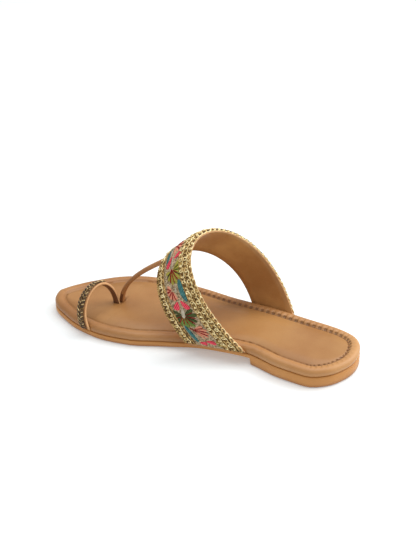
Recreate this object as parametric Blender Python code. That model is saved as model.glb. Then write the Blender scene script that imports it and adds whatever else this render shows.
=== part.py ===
"""A flat toe ring sandal for the right foot, in metres.

+Y runs from the heel to the toe, +X to the outer side of the foot and +Z up. The origin is on the
floor at the middle of the heel's tread. A moulded outsole with a low heel carries a padded, leather
wrapped footbed. One leather upper is lasted between the two: a wide instep band, a ring for the
big toe, and a narrow strap that joins the ring's post to the band. Cord braids and an embroidered
ribbon lie on the band and on the ring.
"""
import math

import bmesh
import bpy
from mathutils import Vector

# Sole, from above
SOLE_LENGTH = 0.250
BALL_WIDTH = 0.086
HEEL_CENTRE = 0.031          # from the heel's back edge to the origin

# Sole, from the side
HEEL_HEIGHT = 0.0092         # floor to the outsole's top at the heel
WAIST_THICKNESS = 0.0036     # outsole between the heel and the ball
FORE_THICKNESS = 0.0047      # outsole under the ball and toes
TOE_SPRING = 0.0022
HEEL_BREAST = 0.301          # share of the length where the heel block ends
BREAST_SLOPE = 0.0009        # how far the breast leans back to the floor
EDGE_ROUND = 0.0009          # rounding of the outsole's lower edge

# Footbed
FOOTBED_THICKNESS = 0.0060   # up to the crown of its rolled rim
RIM_WIDTH = 0.0082           # outer edge to the stitched groove
RIM_DROP = 0.0013            # crown of the rim to the sunk middle
GROOVE_DEPTH = 0.0008        # below the sunk middle
GROOVE_WIDTH = 0.0012

# Upper
STRAP_WALL = 0.0018          # leather and lining together
BAND_RISE = 0.085            # floor to the band's crest
LASTING_MARGIN = 0.007       # how far each foot of a strap runs in under the footbed
TUCK_IN = 0.0012             # inside the sole's edge, where a strap's bend to its tail ends
BAND_CROWN = 0.0020          # how far the middle of the band stands over its edges
RING_RISE = 0.032            # floor to the ring's crest
POST_SIDE = 0.0032           # from the middle line to the ring's foot at the post
POST_PARTING = 0.0008        # between the ring and the narrow strap at the post
T_STRAP_WIDTH = 0.0050
T_STRAP_THICKNESS = 0.0034
T_STRAP_UPRIGHT = 0.025      # handle that keeps the strap upright at the post
T_STRAP_SLANT = 0.0135       # handle that brings it flat into the band
T_STRAP_LAP = 0.010          # length fastened in the band
T_STRAP_SINK = 0.0012        # below the middle of the band's wall
T_STRAP_SQUARENESS = (0.45, 0.70)    # powers that flatten its round section: across, through
ANCHOR_LENGTH = 0.018        # pad where the tails of ring and strap are fixed
ANCHOR_WIDTH = 0.013
ANCHOR_THICKNESS = 0.0016

# Trims
BRAID_THICKNESS = 0.0013
BRAID_CROWN = 0.0005         # extra height of each of a braid's two rows
RIBBON_THICKNESS = 0.0006

# Fits
GAP = 0.0003                 # between pieces that touch
SLOT_GAP = 0.0004            # round a strap where it passes through the footbed
SLANT_ALLOWANCE = 1.8        # of a gap, at a strap's two edges, because they leave at a slant

# Mesh density
HEEL_ROWS = 20
FORE_ROWS = 34
ARCH_STEPS = 38
RING_STEPS = 24
T_STRAP_STEPS = 18
T_STRAP_SIDES = 12

# Outline of the sole. station is a share of the length from the heel's back edge. medial (big toe
# side) and lateral are distances from the middle line, as shares of the ball width.
OUTLINE = (
    # station, medial, lateral
    (0.000, -0.035, 0.035),
    (0.015, 0.140, 0.228),
    (0.050, 0.284, 0.317),
    (0.110, 0.371, 0.362),
    (0.200, 0.351, 0.385),
    (0.320, 0.272, 0.421),
    (0.450, 0.277, 0.463),
    (0.580, 0.362, 0.526),
    (0.680, 0.464, 0.542),
    (0.770, 0.493, 0.503),
    (0.860, 0.451, 0.388),
    (0.930, 0.365, 0.200),
    (0.975, 0.287, 0.030),
    (0.995, 0.201, -0.076),
    (1.000, 0.115, -0.115),
)

# Side view in front of the heel block. lift is the underside's height, as a share of the height
# that the heel block adds. thickness blends from the waist's, at 0, to the forefoot's, at 1.
SIDE = (
    # station, lift, thickness
    (HEEL_BREAST, 1.00, 0.00),
    (0.350, 0.90, 0.00),
    (0.410, 0.70, 0.08),
    (0.480, 0.40, 0.35),
    (0.550, 0.13, 0.75),
    (0.610, 0.00, 1.00),
    (1.000, 0.00, 1.00),
)
TOE_SPRING_START = 0.84      # station where the toe begins to lift

# Footbed from its lower edge, round the rim and in to the sunk middle. inset is a share of the
# rim's width, height a share of the footbed's thickness.
RIM = (
    # inset, height
    (0.10, 0.00),
    (0.00, 0.22),
    (0.00, 0.50),
    (0.08, 0.74),
    (0.23, 0.92),
    (0.45, 1.00),
    (0.70, 0.97),
    (0.88, 0.88),
)

# The two edges of the band and of the ring, a row for each foot. station is the foot's place along
# the sole, or along the post's slit. stand is how far it lies outside the sole's edge, in shares of
# the strap's wall. bend is the height of the turn below the foot, down to the tail, as a share of
# the footbed's thickness, and sweep is how far back the tail runs, as a share of its length. reach
# is the length of the arch's handle, as a share of the crest's height. lean tips the leg towards
# the toe and splay opens it outwards, in degrees.
BAND_FEET = {
    # station, stand, bend, sweep, reach, lean, splay
    ("rear", "medial"): (0.322, 0.4, 0.37, 0.0, 1.58, 43.3, 7.5),
    ("rear", "lateral"): (0.255, 0.4, 0.37, 0.0, 1.35, 29.2, 13.5),
    ("front", "medial"): (0.506, 2.6, 0.87, 0.7, 1.15, 29.0, 13.5),
    ("front", "lateral"): (0.404, 0.7, 0.55, 0.2, 0.90, 32.0, 13.5),
}
RING_FEET = {
    # station, stand, bend, sweep, reach, lean, splay
    ("rear", "medial"): (0.815, 0.4, 0.37, 0.0, 0.87, 14.5, 7.5),
    ("rear", "post"): (0.790, 0.0, 0.0, 0.0, 1.20, 18.0, 6.5),
    ("front", "medial"): (0.844, 0.4, 0.37, 0.0, 0.97, 17.0, 6.0),
    ("front", "post"): (0.810, 0.0, 0.0, 0.0, 1.02, 14.5, 7.0),
}
BAND_JOIN = 0.477            # share along the band's front arch where the narrow strap joins it

# Trims across a strap, from its rear edge at 0 to its front edge at 1.
BAND_TRIMS = (
    # name, from, to
    ("band_braid_rear", 0.022, 0.335),
    ("band_embroidery", 0.345, 0.765),
    ("band_braid_front", 0.775, 0.985),
)
RING_BRAID = (0.14, 0.96)    # across the ring
RING_BRAID_END = 0.66        # share of the arch where the ring's braid ends, above the footbed
SHOWN_BENDS = 1              # rows of a tail's bend that a trim follows

# Materials: colour, roughness, metallic
TAN_LEATHER = ("tan_leather", (0.52, 0.27, 0.12), 0.48, 0.0)
TAN_RUBBER = ("tan_rubber", (0.56, 0.28, 0.10), 0.55, 0.0)
GOLD_CORD = ("gold_cord", (0.60, 0.43, 0.19), 0.38, 0.6)
DARK_CORD = ("dark_cord", (0.15, 0.09, 0.04), 0.45, 0.3)
SILK_RIBBON = ("silk_ribbon", (0.45, 0.38, 0.28), 0.60, 0.0)


def clear_scene():
    for item in list(bpy.data.objects):
        bpy.data.objects.remove(item, do_unlink=True)


def smooth(knots, values, at):
    """Monotone cubic through the values, so no bump appears between two rows of a table."""
    at = min(max(at, knots[0]), knots[-1])
    count = len(knots)
    steps = [knots[i + 1] - knots[i] for i in range(count - 1)]
    slopes = [(values[i + 1] - values[i]) / steps[i] for i in range(count - 1)]
    tangents = [slopes[0]]
    for i in range(1, count - 1):
        if slopes[i - 1] * slopes[i] <= 0.0:
            tangents.append(0.0)
        else:
            before = 2.0 * steps[i] + steps[i - 1]
            after = steps[i] + 2.0 * steps[i - 1]
            tangents.append((before + after) / (before / slopes[i - 1] + after / slopes[i]))
    tangents.append(slopes[-1])
    cell = max(i for i in range(count - 1) if knots[i] <= at)
    s = (at - knots[cell]) / steps[cell]
    rise = (2.0 * s - 3.0) * s * s
    return (
        (1.0 + rise) * values[cell]
        + s * (s - 1.0) ** 2 * steps[cell] * tangents[cell]
        - rise * values[cell + 1]
        + s * s * (s - 1.0) * steps[cell] * tangents[cell + 1]
    )


def column(table, index):
    return [row[index] for row in table]


def turn_of(station):
    """Angle round half the sole that has this station, so the round ends get close rows."""
    return math.acos(1.0 - 2.0 * min(max(station, 0.0), 1.0))


OUTLINE_TURNS = [turn_of(row[0]) for row in OUTLINE]


def edge_x(station, side):
    """Edge of the sole at a station: side -1 is medial and +1 is lateral."""
    values = column(OUTLINE, 1 if side < 0 else 2)
    return side * BALL_WIDTH * smooth(OUTLINE_TURNS, values, turn_of(station))


def y_of(station):
    return station * SOLE_LENGTH - HEEL_CENTRE


def station_of(y):
    return (y + HEEL_CENTRE) / SOLE_LENGTH


BREAST_FOOT = HEEL_BREAST - BREAST_SLOPE / SOLE_LENGTH / 2.0


def toe_lift(station):
    past = max(0.0, station - TOE_SPRING_START) / (1.0 - TOE_SPRING_START)
    return TOE_SPRING * past * past


def underside(station):
    if station < BREAST_FOOT:
        return 0.0
    lift = smooth(column(SIDE, 0), column(SIDE, 1), station)
    return lift * (HEEL_HEIGHT - WAIST_THICKNESS) + toe_lift(station)


def outsole_top(station):
    if station < BREAST_FOOT:
        return HEEL_HEIGHT
    blend = smooth(column(SIDE, 0), column(SIDE, 2), station)
    return underside(station) + WAIST_THICKNESS + blend * (FORE_THICKNESS - WAIST_THICKNESS)


def row_stations():
    """Stations of the sole's rows, close at both ends and at the two edges of the breast."""
    heel_end = turn_of(HEEL_BREAST - BREAST_SLOPE / SOLE_LENGTH)
    fore_start = turn_of(HEEL_BREAST)
    turns = [heel_end * (i + 0.5) / (HEEL_ROWS - 0.5) for i in range(HEEL_ROWS)]
    turns += [
        fore_start + (math.pi - fore_start) * i / (FORE_ROWS - 0.5)
        for i in range(FORE_ROWS)
    ]
    return [(1.0 - math.cos(turn)) / 2.0 for turn in turns]


def outline_ring():
    """Points round the sole, medial side forward and lateral side back, each with its station."""
    stations = row_stations()
    ring = [(edge_x(s, -1), y_of(s), s) for s in stations]
    ring += [(edge_x(s, 1), y_of(s), s) for s in reversed(stations)]
    return ring


def inset_ring(ring, inset):
    """The ring moved inwards by inset, square to its own direction."""
    moved = []
    count = len(ring)
    for i, (x, y, station) in enumerate(ring):
        before = ring[i - 1]
        after = ring[(i + 1) % count]
        along = Vector((after[0] - before[0], after[1] - before[1])).normalized()
        moved.append((x + along.y * inset, y - along.x * inset, station))
    return moved


def new_object(name, mesh, material):
    label, colour, roughness, metallic = material
    finish = bpy.data.materials.get(label) or bpy.data.materials.new(label)
    finish.use_nodes = True
    shader = finish.node_tree.nodes["Principled BSDF"]
    shader.inputs["Base Color"].default_value = (*colour, 1.0)
    shader.inputs["Roughness"].default_value = roughness
    shader.inputs["Metallic"].default_value = metallic
    mesh.materials.append(finish)
    piece = bpy.data.objects.new(name, mesh)
    bpy.context.scene.collection.objects.link(piece)
    return piece


def finish_mesh(name, bm, material, sharp_degrees=40.0):
    bmesh.ops.recalc_face_normals(bm, faces=bm.faces)
    mesh = bpy.data.meshes.new(name)
    bm.to_mesh(mesh)
    bm.free()
    mesh.shade_smooth()
    mesh.set_sharp_from_angle(angle=math.radians(sharp_degrees))
    return new_object(name, mesh, material)


def stacked_rings(name, rings, material):
    """Closed solid through rings of equal count, its two ends closed by rungs from side to side."""
    bm = bmesh.new()
    loops = [[bm.verts.new(point) for point in ring] for ring in rings]
    count = len(loops[0])
    for lower, upper in zip(loops, loops[1:]):
        for i in range(count):
            j = (i + 1) % count
            bm.faces.new((lower[i], lower[j], upper[j], upper[i]))
    for loop in (loops[0], loops[-1]):
        for i in range(count // 2 - 1):
            bm.faces.new((loop[i], loop[i + 1], loop[count - 2 - i], loop[count - 1 - i]))
    return finish_mesh(name, bm, material)


def cut(piece, cutter, operation="DIFFERENCE"):
    """Boolean by a guide object that isn't a piece itself."""
    cutter.hide_render = True
    cutter.display_type = "WIRE"
    tool = piece.modifiers.new(operation.lower() + "_" + cutter.name, "BOOLEAN")
    tool.operation = operation
    tool.solver = "EXACT"
    tool.object = cutter


def make_outsole():
    ring = outline_ring()
    lower_inset = inset_ring(ring, EDGE_ROUND)
    top_inset = inset_ring(ring, EDGE_ROUND / 2.0)
    rings = [
        [(x, y, underside(s)) for x, y, s in lower_inset],
        [(x, y, underside(s) + EDGE_ROUND) for x, y, s in ring],
        [(x, y, outsole_top(s) - EDGE_ROUND / 2.0) for x, y, s in ring],
        [(x, y, outsole_top(s)) for x, y, s in top_inset],
    ]
    return stacked_rings("outsole", rings, TAN_RUBBER)


def make_footbed():
    ring = outline_ring()
    rings = []
    for inset, height in RIM:
        lifted = height * FOOTBED_THICKNESS + GAP
        moved = inset_ring(ring, inset * RIM_WIDTH)
        rings.append([(x, y, outsole_top(s) + lifted) for x, y, s in moved])
    middle = FOOTBED_THICKNESS - RIM_DROP + GAP
    groove = (
        (RIM_WIDTH, middle - GROOVE_DEPTH),
        (RIM_WIDTH + GROOVE_WIDTH / 2.0, middle - GROOVE_DEPTH),
        (RIM_WIDTH + GROOVE_WIDTH, middle),
    )
    for inset, height in groove:
        moved = inset_ring(ring, inset)
        rings.append([(x, y, outsole_top(s) + height) for x, y, s in moved])
    return stacked_rings("footbed", rings, TAN_LEATHER)


def cubic(start, first, second, end, share):
    rest = 1.0 - share
    return (
        rest ** 3 * start + 3.0 * rest ** 2 * share * first
        + 3.0 * rest * share ** 2 * second + share ** 3 * end
    )


def arch(start, start_foot, end, end_foot, rise, share):
    """Point of an arch between two feet, a cubic curve with leaning, splayed handles."""
    across = Vector((end.x - start.x, end.y - start.y, 0.0)).normalized()
    handles = []
    for foot, outward in ((start_foot, -across), (end_foot, across)):
        reach = foot[4]
        lean = math.radians(foot[5])
        splay = math.radians(foot[6])
        upward = Vector((0.0, math.sin(lean), math.cos(lean)))
        handles.append(reach * rise * (upward * math.cos(splay) + outward * math.sin(splay)))
    return cubic(start, start + handles[0], end + handles[1], end, share)


def tail_low():
    """Middle of a strap's wall over the outsole, where it lies between outsole and footbed."""
    return GAP + STRAP_WALL / 2.0


def bend_height(foot):
    return foot[2] * FOOTBED_THICKNESS


def foot_point(foot, side):
    """Middle of the wall where a strap leaves the sole's edge, just over its bend."""
    station, stand = foot[:2]
    x = edge_x(station, side) + side * stand * STRAP_WALL
    return Vector((x, y_of(station), outsole_top(station) + tail_low() + bend_height(foot)))


TAIL_TURNS = [math.radians(turn) for turn in (90.0, 60.0, 30.0)]
TAIL_ROWS = len(TAIL_TURNS) + 2


def tucked_tail(point, foot, inward, extra):
    """From the end of the lasting margin, along under the footbed and round the bend.

    These points have their height over the outsole as z, because a tail follows the outsole.
    """
    depth = foot[1] * STRAP_WALL + TUCK_IN
    drop = bend_height(foot)
    back = Vector((0.0, -1.0, 0.0))
    follow = drop * math.tan(math.radians(foot[5]))
    sweep = foot[3] * LASTING_MARGIN
    tail = []
    for turn in TAIL_TURNS:
        place = point + inward * depth * (1.0 - math.cos(turn))
        place += back * (follow * math.sin(turn) + sweep * (1.0 - math.cos(turn)))
        place.z = tail_low() + drop * (1.0 - math.sin(turn))
        tail.append(place)
    reaches = (LASTING_MARGIN + extra, LASTING_MARGIN / 2.0)
    return [tail[0] + inward * reach for reach in reaches] + tail


def band_arch(edge, share):
    medial = BAND_FEET[edge, "medial"]
    lateral = BAND_FEET[edge, "lateral"]
    return arch(foot_point(medial, -1), medial, foot_point(lateral, 1), lateral, BAND_RISE, share)


def level(vector):
    return Vector((vector.x, vector.y, 0.0)).normalized()


def band_line(edge, extra=0.0):
    """One edge of the band from tail to tail. extra lengthens the tails."""
    points = [band_arch(edge, i / ARCH_STEPS) for i in range(ARCH_STEPS + 1)]
    inward = level(points[-1] - points[0])
    medial_tail = tucked_tail(points[0], BAND_FEET[edge, "medial"], inward, extra)
    lateral_tail = tucked_tail(points[-1], BAND_FEET[edge, "lateral"], -inward, extra)
    return medial_tail + points + lateral_tail[::-1]


def band_crowns():
    """How far the middle of the band stands out at each row: nothing at the tails."""
    shares = [i / ARCH_STEPS for i in range(ARCH_STEPS + 1)]
    tails = [0.0] * TAIL_ROWS
    return tails + [BAND_CROWN * math.sin(math.pi * share) for share in shares] + tails


def footbed_top(station):
    return outsole_top(station) + GAP + FOOTBED_THICKNESS - RIM_DROP


def post_point(station, height):
    return Vector((-POST_SIDE, y_of(station), height))


def pad_middle(station):
    return outsole_top(station) + GAP + ANCHOR_THICKNESS / 2.0


def ring_arch(edge, share):
    medial = RING_FEET[edge, "medial"]
    post = RING_FEET[edge, "post"]
    end = post_point(post[0], footbed_top(post[0]))
    return arch(foot_point(medial, -1), medial, end, post, RING_RISE, share)


def ring_line(edge, extra=0.0, end=1.0):
    """One edge of the ring from its tail up to a share of its arch."""
    points = [ring_arch(edge, end * i / RING_STEPS) for i in range(RING_STEPS + 1)]
    inward = level(ring_arch(edge, 1.0) - points[0])
    return tucked_tail(points[0], RING_FEET[edge, "medial"], inward, extra) + points


def ring_to_pad(edge, extra=0.0):
    """One edge of the ring from its tail to its end in the pad below the post's slit."""
    post = RING_FEET[edge, "post"][0]
    return ring_line(edge, extra) + [post_point(post, pad_middle(post))]


def ruled_wall(name, rear, front, material, wall, tails=(0, 0), hidden=(0, 0), crowns=None,
               span=(0.0, 1.0), columns=4, offset=0.0, relief=None):
    """Closed wall on the surface ruled between two edge lines.

    tails is how many rows at each end have their height over the outsole as z, and hidden is how
    many the wall leaves out there. crowns lifts the middle of each row. span is the part of the
    width that the wall covers, offset moves it off the surface, and relief adds height to its
    outer face across the width.
    """
    start, end = span
    shares = [start + (end - start) * i / columns for i in range(columns + 1)]
    count = len(rear)
    middle = [[rear[k].lerp(front[k], share) for share in shares] for k in range(count)]
    for row in middle[:tails[0]] + middle[count - tails[1]:]:
        for point in row:
            point.z += outsole_top(station_of(point.y))
    raised = [relief(i / columns) if relief else 0.0 for i in range(columns + 1)]
    inner = []
    outer = []
    for k in range(hidden[0], count - hidden[1]):
        ahead = middle[min(k + 1, count - 1)]
        behind = middle[max(k - 1, 0)]
        along = ahead[0] + ahead[-1] - behind[0] - behind[-1]
        normal = along.cross(middle[k][-1] - middle[k][0]).normalized()
        crown = crowns[k] if crowns else 0.0
        lifts = [offset + 4.0 * share * (1.0 - share) * crown for share in shares]
        inner.append([p + normal * (lift - wall / 2.0) for p, lift in zip(middle[k], lifts)])
        outer.append([
            p + normal * (lift + wall / 2.0 + extra)
            for p, lift, extra in zip(middle[k], lifts, raised)
        ])
    bm = bmesh.new()
    inner_verts = [[bm.verts.new(point) for point in row] for row in inner]
    outer_verts = [[bm.verts.new(point) for point in row] for row in outer]
    for k in range(len(inner) - 1):
        for i in range(columns):
            bm.faces.new((inner_verts[k][i], inner_verts[k][i + 1],
                          inner_verts[k + 1][i + 1], inner_verts[k + 1][i]))
            bm.faces.new((outer_verts[k][i], outer_verts[k + 1][i],
                          outer_verts[k + 1][i + 1], outer_verts[k][i + 1]))
        for i in (0, columns):
            bm.faces.new((inner_verts[k][i], inner_verts[k + 1][i],
                          outer_verts[k + 1][i], outer_verts[k][i]))
    for k in (0, -1):
        for i in range(columns):
            bm.faces.new((inner_verts[k][i], outer_verts[k][i],
                          outer_verts[k][i + 1], inner_verts[k][i + 1]))
    return finish_mesh(name, bm, material, 50.0)


def widened(rear, front, extra):
    """Both edge lines moved apart by extra on each side."""
    pairs = [((b - a).normalized() * extra, a, b) for a, b in zip(rear, front)]
    return [a - step for step, a, _ in pairs], [b + step for step, _, b in pairs]


def make_band(name, grow=0.0):
    rear, front = widened(band_line("rear", grow), band_line("front", grow), grow * SLANT_ALLOWANCE)
    return ruled_wall(name, rear, front, TAN_LEATHER, STRAP_WALL + 2.0 * grow,
                      tails=(TAIL_ROWS, TAIL_ROWS), crowns=band_crowns(), columns=6)


def make_ring(name, grow=0.0):
    rear, front = widened(ring_to_pad("rear", grow), ring_to_pad("front", grow),
                          grow * SLANT_ALLOWANCE)
    return ruled_wall(name, rear, front, TAN_LEATHER, STRAP_WALL + 2.0 * grow,
                      tails=(TAIL_ROWS, 0), columns=3)


def t_strap_line():
    """Middle line of the narrow strap, from the anchor pad up to its lap in the band."""
    post = RING_FEET["rear", "post"][0]
    side = -POST_SIDE + STRAP_WALL / 2.0 + POST_PARTING + T_STRAP_WIDTH / 2.0
    start = Vector((side, y_of(post), footbed_top(post)))
    join = band_arch("front", BAND_JOIN)
    back = (band_arch("rear", BAND_JOIN) - join).normalized()
    step = 1.0 / ARCH_STEPS
    along = band_arch("front", BAND_JOIN + step) - band_arch("front", BAND_JOIN - step)
    outward = back.cross(along).normalized()
    end = join - outward * T_STRAP_SINK
    width = (band_arch("rear", BAND_JOIN) - join).length
    share = T_STRAP_LAP / width
    lift = 4.0 * share * (1.0 - share) * BAND_CROWN * math.sin(math.pi * BAND_JOIN)
    handles = (Vector((0.0, 0.0, T_STRAP_UPRIGHT)), -back * T_STRAP_SLANT)
    points = [Vector((side, y_of(post), pad_middle(post)))]
    points += [
        cubic(start, start + handles[0], end + handles[1], end, i / T_STRAP_STEPS)
        for i in range(T_STRAP_STEPS + 1)
    ]
    return points + [end + back * T_STRAP_LAP + outward * lift]


def make_t_strap(name, grow=0.0):
    """Narrow folded strap with rounded edges, its width across the foot."""
    line = t_strap_line()
    half_width = T_STRAP_WIDTH / 2.0 + grow
    half_thick = T_STRAP_THICKNESS / 2.0 + grow
    bm = bmesh.new()
    rings = []
    for k, point in enumerate(line):
        ahead = line[min(k + 1, len(line) - 1)]
        behind = line[max(k - 1, 0)]
        along = (ahead - behind).normalized()
        wide = Vector((1.0, 0.0, 0.0))
        wide = (wide - along * wide.dot(along)).normalized()
        thick = along.cross(wide)
        section = []
        for i in range(T_STRAP_SIDES):
            turn = 2.0 * math.pi * (i + 0.5) / T_STRAP_SIDES
            a = math.copysign(abs(math.cos(turn)) ** T_STRAP_SQUARENESS[0], math.cos(turn))
            b = math.copysign(abs(math.sin(turn)) ** T_STRAP_SQUARENESS[1], math.sin(turn))
            section.append(bm.verts.new(point + wide * half_width * a + thick * half_thick * b))
        rings.append(section)
    for lower, upper in zip(rings, rings[1:]):
        for i in range(T_STRAP_SIDES):
            j = (i + 1) % T_STRAP_SIDES
            bm.faces.new((lower[i], lower[j], upper[j], upper[i]))
    bm.faces.new(rings[0])
    bm.faces.new(rings[-1])
    return finish_mesh(name, bm, TAN_LEATHER, 50.0)


def make_anchor(name, grow=0.0):
    """Flat pad between outsole and footbed, where the tails of ring and narrow strap are fixed."""
    station = (RING_FEET["rear", "post"][0] + RING_FEET["front", "post"][0]) / 2.0
    centre = Vector((-POST_SIDE + T_STRAP_WIDTH / 2.0, y_of(station), pad_middle(station)))
    half = (ANCHOR_WIDTH / 2.0 + grow, ANCHOR_LENGTH / 2.0 + grow, ANCHOR_THICKNESS / 2.0 + grow)
    bm = bmesh.new()
    bmesh.ops.create_cube(bm, size=2.0)
    for vert in bm.verts:
        vert.co = centre + Vector(vert.co[i] * half[i] for i in range(3))
    return finish_mesh(name, bm, TAN_LEATHER)


def make_upper():
    upper = make_band("strap_upper")
    for guide in (make_ring("ring_form"), make_t_strap("t_strap_form"), make_anchor("anchor_form")):
        cut(upper, guide, "UNION")
    return upper


def let_straps_in(footbed):
    """Recesses in the footbed for the tails of the straps, and the slit at the post."""
    cut(footbed, make_band("band_recess", GAP))
    cut(footbed, make_ring("ring_recess", SLOT_GAP))
    cut(footbed, make_t_strap("t_strap_slot", SLOT_GAP))
    cut(footbed, make_anchor("anchor_pocket", GAP))


def two_rows(share):
    """Crown across a braid: two round rows side by side."""
    return BRAID_CROWN * abs(math.sin(2.0 * math.pi * share))


def make_trims():
    """Each trim lies over its strap's wall and ends low on the bends, just over the outsole."""
    hidden = TAIL_ROWS - SHOWN_BENDS
    for name, start, end in BAND_TRIMS:
        braid = name != "band_embroidery"
        thickness = BRAID_THICKNESS if braid else RIBBON_THICKNESS
        ruled_wall(
            name, band_line("rear"), band_line("front"),
            GOLD_CORD if braid else SILK_RIBBON, thickness,
            tails=(TAIL_ROWS, TAIL_ROWS), hidden=(hidden, hidden), crowns=band_crowns(),
            span=(start, end), offset=STRAP_WALL / 2.0 + GAP + thickness / 2.0,
            relief=two_rows if braid else None,
        )
    ruled_wall(
        "ring_braid", ring_line("rear", end=RING_BRAID_END), ring_line("front", end=RING_BRAID_END),
        DARK_CORD, BRAID_THICKNESS,
        tails=(TAIL_ROWS, 0), hidden=(hidden, 0),
        span=RING_BRAID, offset=STRAP_WALL / 2.0 + GAP + BRAID_THICKNESS / 2.0, relief=two_rows,
    )


clear_scene()
make_outsole()
make_upper()
let_straps_in(make_footbed())
make_trims()
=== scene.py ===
"""Looks of the toe ring sandal: leather, rubber, gold braids and an embroidered ribbon."""
import math

import bmesh
import bpy
from mathutils import Matrix, Vector
from mathutils.kdtree import KDTree


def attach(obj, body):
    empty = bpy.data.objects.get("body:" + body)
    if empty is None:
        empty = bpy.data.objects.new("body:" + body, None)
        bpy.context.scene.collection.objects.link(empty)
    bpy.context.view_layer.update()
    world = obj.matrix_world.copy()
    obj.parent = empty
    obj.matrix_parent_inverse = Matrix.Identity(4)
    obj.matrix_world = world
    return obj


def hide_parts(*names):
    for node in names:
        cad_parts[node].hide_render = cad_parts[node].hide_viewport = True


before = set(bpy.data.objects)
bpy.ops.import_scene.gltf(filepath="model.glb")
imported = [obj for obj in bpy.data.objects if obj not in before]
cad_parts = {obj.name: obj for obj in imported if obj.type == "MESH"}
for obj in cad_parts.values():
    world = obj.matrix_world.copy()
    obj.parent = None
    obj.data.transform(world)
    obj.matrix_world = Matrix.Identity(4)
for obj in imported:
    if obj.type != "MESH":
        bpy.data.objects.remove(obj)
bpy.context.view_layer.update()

# Sole and straps, as in the part
SOLE_LENGTH = 0.250
BALL_WIDTH = 0.086
HEEL_CENTRE = 0.031
HEEL_HEIGHT = 0.0092
WAIST_THICKNESS = 0.0036
FORE_THICKNESS = 0.0047
TOE_SPRING = 0.0022
TOE_SPRING_START = 0.84
HEEL_BREAST = 0.301
FOOTBED_THICKNESS = 0.0060
RIM_WIDTH = 0.0082
RIM_DROP = 0.0013
STRAP_WALL = 0.0018
GAP = 0.0003
BAND_RISE = 0.085
BAND_CROWN = 0.0020
RING_RISE = 0.032
RING_BACK = 0.150            # the ring lies ahead of this place, the band behind it
POST_SIDE = 0.0032

OUTLINE = (
    # station, medial, lateral
    (0.000, -0.035, 0.035),
    (0.015, 0.140, 0.228),
    (0.050, 0.284, 0.317),
    (0.110, 0.371, 0.362),
    (0.200, 0.351, 0.385),
    (0.320, 0.272, 0.421),
    (0.450, 0.277, 0.463),
    (0.580, 0.362, 0.526),
    (0.680, 0.464, 0.542),
    (0.770, 0.493, 0.503),
    (0.860, 0.451, 0.388),
    (0.930, 0.365, 0.200),
    (0.975, 0.287, 0.030),
    (0.995, 0.201, -0.076),
    (1.000, 0.115, -0.115),
)
SIDE = (
    # station, lift, thickness
    (HEEL_BREAST, 1.00, 0.00),
    (0.350, 0.90, 0.00),
    (0.410, 0.70, 0.08),
    (0.480, 0.40, 0.35),
    (0.550, 0.13, 0.75),
    (0.610, 0.00, 1.00),
    (1.000, 0.00, 1.00),
)
BAND_FEET = {
    # station, stand, bend, reach, lean, splay
    ("rear", "medial"): (0.322, 0.4, 0.37, 1.58, 43.3, 7.5),
    ("rear", "lateral"): (0.255, 0.4, 0.37, 1.35, 29.2, 13.5),
    ("front", "medial"): (0.506, 2.6, 0.87, 1.15, 29.0, 13.5),
    ("front", "lateral"): (0.404, 0.7, 0.55, 0.90, 32.0, 13.5),
}
RING_FEET = {
    # station, stand, bend, reach, lean, splay
    ("rear", "medial"): (0.815, 0.4, 0.37, 0.87, 14.5, 7.5),
    ("rear", "post"): (0.790, 0.0, 0.0, 1.20, 18.0, 6.5),
    ("front", "medial"): (0.844, 0.4, 0.37, 0.97, 17.0, 6.0),
    ("front", "post"): (0.810, 0.0, 0.0, 1.02, 14.5, 7.0),
}

# Trims across the band, from its rear edge at 0 to its front edge at 1
REAR_BRAID = (0.004, 0.300)
RIBBON = (0.275, 0.810)
FRONT_BRAID = (0.775, 0.994)
RING_BRAID = (0.16, 0.97)
RING_BRAID_LENGTH = 0.66     # share of the ring that its braid covers, from the inner foot
TRIM_PAST_FOOT = 0.0006      # how far the band's trims run on past its feet
RIBBON_TOP = 0.0009          # over the band's leather
RIBBON_THICKNESS = 0.0005
BRAID_BASE_TOP = 0.0009
BRAID_BASE_THICKNESS = 0.0006
CORD_RADIUS = 0.00042
LINK_PITCH = 0.0036          # along the gold braid, from one loop of cord to the next
BIG_LOOP = 0.00148           # radius of the braid's loops
SMALL_LOOP = 0.00062
EDGE_PITCH = 0.0040          # along the band's rear edge, from one loop to the next
EDGE_CORD_RADIUS = 0.00044
RING_BRAID_TOP = 0.0008
RING_PITCH = 0.0029          # along the ring's braid, from one strand to the next
RING_STRAND = 0.0020         # half the length of a strand
STITCH_PITCH = 0.0050
STITCH_SIZE = (0.0031, 0.0008, 0.0007)
STITCH_DEPTH = 0.00055       # below the footbed's top
SEAM_PLAIN_SIDE = -0.018     # past this place, on the inner side, the seam is a plain groove
SEAM_STITCH_END = 0.135      # farther forward the seam is pressed in without stitches
PATTERN_WIDTH = 32.0         # mm of band that the pattern is drawn for
FOOT_MARGIN = 1.5            # mm from a foot of the band, where no petal starts

# Pairs of coral petals along the band: mm from its inner foot, and share of the width aside.
# The green half of the pattern follows the first pair, the olive half the next, and so on.
PAIR_PLACES = (
    (39.6, 0.015), (73.0, -0.065), (107.4, 0.0), (141.4, -0.05), (176.0, 0.0),
)

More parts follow.
